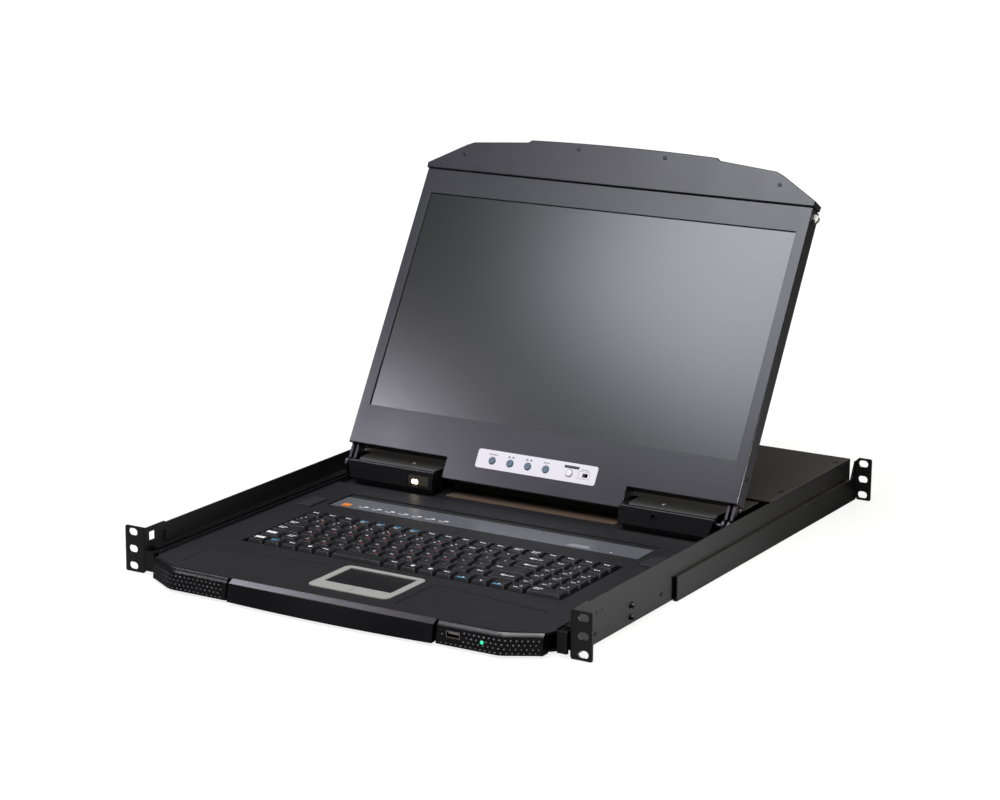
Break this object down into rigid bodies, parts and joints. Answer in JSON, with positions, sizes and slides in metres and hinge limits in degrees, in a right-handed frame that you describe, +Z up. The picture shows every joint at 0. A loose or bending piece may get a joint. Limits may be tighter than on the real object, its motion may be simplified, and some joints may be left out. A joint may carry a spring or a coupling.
{
  "type": "rackmount lcd console drawer",
  "caption": "Rack drawer one unit high: a slide-out keyboard and touchpad deck with a fold-up wide LCD, in a frame whose rear brackets set its depth.",
  "frame": {"origin": "centre of the front ears' slot pattern, on the rear face of the ears, which seats on the rack posts", "axes": "+X to the right seen from the front, +Y into the rack, +Z up"},
  "size_m": [0.482, 0.6127, 0.3457],
  "materials": {
    "chassis_powder_coat": "black powder coat, fine texture, satin",
    "cover_powder_coat": "charcoal powder coat, fine texture, satin",
    "slide_steel": "black electro-coated steel",
    "screw_steel": "black-zinc screw steel",
    "hinge_steel": "bare stamped steel",
    "port_metal": "nickel-plated shell",
    "socket_plastic": "black moulded plastic",
    "board_laminate": "green circuit laminate",
    "catch_plastic": "black moulded nylon",
    "deck_plastic": "black ABS, fine spark-eroded texture",
    "handle_plastic": "black ABS, satin",
    "hinge_cover_plastic": "black ABS, satin",
    "led_lens": "green lens",
    "lamp_lens": "clear lens over a warm white lamp",
    "indicator_film": "smoke-grey printed polycarbonate film",
    "silver_plastic": "silver-painted plastic",
    "pad_plastic": "black touch surface",
    "ribbon_film": "brown flexible flat cable",
    "key_plastic": "black ABS keycaps, printed",
    "keyplate_plastic": "black keyboard frame",
    "bezel_metal": "charcoal violet paint, satin",
    "lip_paint": "moulding painted charcoal violet, satin",
    "screen_film": "anti-glare display surface",
    "control_film": "white printed control film",
    "button_plastic": "blue-grey button",
    "power_button_plastic": "white button",
    "nylon": "natural nylon"
  },
  "bodies": {
    "root": {"side_rail_left": "chassis_powder_coat", "side_rail_right": "chassis_powder_coat", "slide_outer_pair": "slide_steel", "rear_pan": "cover_powder_coat", "rear_cover": "cover_powder_coat", "power_inlet": "socket_plastic", "rear_ports": "port_metal", "chassis_screws": "screw_steel", "main_board": "board_laminate"},
    "slide_middle_left": {"slide_middle_left": "slide_steel"},
    "slide_middle_right": {"slide_middle_right": "slide_steel"},
    "drawer": {"slide_inner_pair": "slide_steel", "base_tray": "chassis_powder_coat", "keyboard_deck": "deck_plastic", "front_handle": "handle_plastic", "grip_left": "handle_plastic", "grip_right": "handle_plastic", "usb_port": "port_metal", "power_led": "led_lens", "indicator_panel": "indicator_film", "touchpad_surround": "silver_plastic", "touchpad_surface": "pad_plastic", "hinge_cover_left": "hinge_cover_plastic", "hinge_cover_right": "hinge_cover_plastic", "reading_lamp": "lamp_lens", "service_jack": "socket_plastic", "hinge_brackets": "hinge_steel", "module_top_panel": "cover_powder_coat", "drawer_screws": "screw_steel", "ribbon_cable": "ribbon_film", "keyboard_plate": "keyplate_plastic"},
    "lcd": {"lcd_bezel": "bezel_metal", "lcd_back_cover": "bezel_metal", "lcd_panel": "screen_film", "lcd_lip": "lip_paint", "control_plate": "control_film", "lcd_side_hooks": "nylon", "hinge_arms": "hinge_steel", "hinge_pins": "hinge_steel", "lcd_screws": "screw_steel"},
    "rear_bracket_left": {"rear_bracket_left": "chassis_powder_coat"},
    "rear_bracket_right": {"rear_bracket_right": "chassis_powder_coat"},
    "slide_catch_left": {"slide_catch_left": "catch_plastic"},
    "slide_catch_right": {"slide_catch_right": "catch_plastic"},
    "power_rocker": {"power_rocker": "socket_plastic"},
    "osd_button_1": {"osd_button_1": "button_plastic"},
    "osd_button_2": {"osd_button_2": "button_plastic"},
    "osd_button_3": {"osd_button_3": "button_plastic"},
    "osd_button_4": {"osd_button_4": "button_plastic"},
    "lcd_power_button": {"lcd_power_button": "power_button_plastic"},
    "lcd_mode_switch": {"lcd_mode_switch": "socket_plastic"},
    "touchpad_button_left": {"touchpad_button_left": "silver_plastic"},
    "touchpad_button_right": {"touchpad_button_right": "silver_plastic"},
    "space_bar": {"space_bar": "key_plastic"},
    "key_row_1": {"key_row_1": "key_plastic"},
    "key_row_2": {"key_row_2": "key_plastic"},
    "key_row_3": {"key_row_3": "key_plastic"},
    "key_row_4": {"key_row_4": "key_plastic"},
    "key_row_5": {"key_row_5": "key_plastic"},
    "key_row_6": {"key_row_6": "key_plastic"}
  },
  "joints": [
    {"name": "drawer_slide", "type": "slide", "parent": "root", "child": "drawer", "axis": [0, -1, 0], "range_m": [0, 0.4]},
    {"name": "slide_middle_left_travel", "type": "slide", "parent": "root", "child": "slide_middle_left", "axis": [0, -1, 0], "range_m": [0, 0.2]},
    {"name": "slide_middle_right_travel", "type": "slide", "parent": "root", "child": "slide_middle_right", "axis": [0, -1, 0], "range_m": [0, 0.2]},
    {"name": "lcd_hinge", "type": "hinge", "parent": "drawer", "child": "lcd", "pos_m": [0, 0.317, 0.01], "axis": [1, 0, 0], "range_deg": [0, 120.16]},
    {"name": "rear_bracket_left_depth", "type": "slide", "parent": "root", "child": "rear_bracket_left", "axis": [0, 1, 0], "range_m": [0, 0.25]},
    {"name": "slide_catch_left_release", "type": "hinge", "parent": "drawer", "child": "slide_catch_left", "pos_m": [-0.20925, 0.036, -0.0078], "axis": [1, 0, 0], "range_deg": [0, 3.5], "stiffness_Nm_per_rad": 1, "springref_deg": -5.73},
    {"name": "rear_bracket_right_depth", "type": "slide", "parent": "root", "child": "rear_bracket_right", "axis": [0, 1, 0], "range_m": [0, 0.25]},
    {"name": "slide_catch_right_release", "type": "hinge", "parent": "drawer", "child": "slide_catch_right", "pos_m": [0.20925, 0.036, -0.0078], "axis": [1, 0, 0], "range_deg": [0, 3.5], "stiffness_Nm_per_rad": 1, "springref_deg": -5.73},
    {"name": "power_rocker_tilt", "type": "hinge", "parent": "root", "child": "power_rocker", "pos_m": [-0.138, 0.568, -0.002], "axis": [1, 0, 0], "range_deg": [0, 18]},
    {"name": "osd_button_1_press", "type": "slide", "parent": "lcd", "child": "osd_button_1", "axis": [0, 0.8646, -0.5024], "range_m": [0, 0.001], "stiffness_N_per_m": 400, "springref_m": -0.001},
    {"name": "osd_button_2_press", "type": "slide", "parent": "lcd", "child": "osd_button_2", "axis": [0, 0.8646, -0.5024], "range_m": [0, 0.001], "stiffness_N_per_m": 400, "springref_m": -0.001},
    {"name": "osd_button_3_press", "type": "slide", "parent": "lcd", "child": "osd_button_3", "axis": [0, 0.8646, -0.5024], "range_m": [0, 0.001], "stiffness_N_per_m": 400, "springref_m": -0.001},
    {"name": "osd_button_4_press", "type": "slide", "parent": "lcd", "child": "osd_button_4", "axis": [0, 0.8646, -0.5024], "range_m": [0, 0.001], "stiffness_N_per_m": 400, "springref_m": -0.001},
    {"name": "lcd_power_button_press", "type": "slide", "parent": "lcd", "child": "lcd_power_button", "axis": [0, 0.8646, -0.5024], "range_m": [0, 0.001], "stiffness_N_per_m": 400, "springref_m": -0.001},
    {"name": "lcd_mode_switch_slide", "type": "slide", "parent": "lcd", "child": "lcd_mode_switch", "axis": [1, 0, 0], "range_m": [0, 0.0024]},
    {"name": "touchpad_button_left_press", "type": "slide", "parent": "drawer", "child": "touchpad_button_left", "axis": [0, 0, -1], "range_m": [0, 0.0004], "stiffness_N_per_m": 1500, "springref_m": -0.0006},
    {"name": "touchpad_button_right_press", "type": "slide", "parent": "drawer", "child": "touchpad_button_right", "axis": [0, 0, -1], "range_m": [0, 0.0004], "stiffness_N_per_m": 1500, "springref_m": -0.0006},
    {"name": "key_row_1_press", "type": "slide", "parent": "drawer", "child": "key_row_1", "axis": [0, 0, -1], "range_m": [0, 0.002], "stiffness_N_per_m": 1500, "springref_m": -0.001},
    {"name": "key_row_2_press", "type": "slide", "parent": "drawer", "child": "key_row_2", "axis": [0, 0, -1], "range_m": [0, 0.002], "stiffness_N_per_m": 1500, "springref_m": -0.001},
    {"name": "key_row_3_press", "type": "slide", "parent": "drawer", "child": "key_row_3", "axis": [0, 0, -1], "range_m": [0, 0.002], "stiffness_N_per_m": 1500, "springref_m": -0.001},
    {"name": "key_row_4_press", "type": "slide", "parent": "drawer", "child": "key_row_4", "axis": [0, 0, -1], "range_m": [0, 0.002], "stiffness_N_per_m": 1500, "springref_m": -0.001},
    {"name": "key_row_5_press", "type": "slide", "parent": "drawer", "child": "key_row_5", "axis": [0, 0, -1], "range_m": [0, 0.002], "stiffness_N_per_m": 1500, "springref_m": -0.001},
    {"name": "key_row_6_press", "type": "slide", "parent": "drawer", "child": "key_row_6", "axis": [0, 0, -1], "range_m": [0, 0.002], "stiffness_N_per_m": 1500, "springref_m": -0.001},
    {"name": "space_bar_press", "type": "slide", "parent": "drawer", "child": "space_bar", "axis": [0, 0, -1], "range_m": [0, 0.002], "stiffness_N_per_m": 500, "springref_m": -0.001}
  ],
  "couplings": [
    {"joint": "slide_middle_left_travel", "follows": "drawer_slide", "ratio": 0.5},
    {"joint": "slide_middle_right_travel", "follows": "drawer_slide", "ratio": 0.5}
  ]
}
